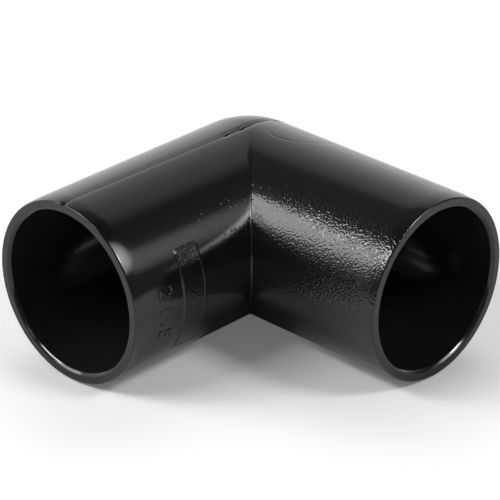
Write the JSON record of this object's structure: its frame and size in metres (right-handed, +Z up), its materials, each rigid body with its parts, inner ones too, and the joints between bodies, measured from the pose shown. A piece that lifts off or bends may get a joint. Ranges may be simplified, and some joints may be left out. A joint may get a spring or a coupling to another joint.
{
  "type": "overflow bend",
  "caption": "Black plastic knuckle bend for overflow pipe: a right-angle elbow with a ball heel, a sharp throat and a solvent-weld socket in each arm.",
  "frame": {"origin": "on the surface the bend lies on, below the middle of its box; the two arms' axes cross at (-10.25, 10.25, 12.5) mm", "axes": "the bend lies on its side: +X out of one arm's mouth, -Y out of the other arm's mouth, +Z up, square to the plane of both arms"},
  "size_m": [0.0454, 0.0454, 0.025],
  "materials": {
    "moulded_plastic": "black ABS, moulded: one arm smooth and semi-gloss, the other finely spark-eroded"
  },
  "bodies": {
    "root": {"overflow_bend": "moulded_plastic"}
  },
  "joints": []
}
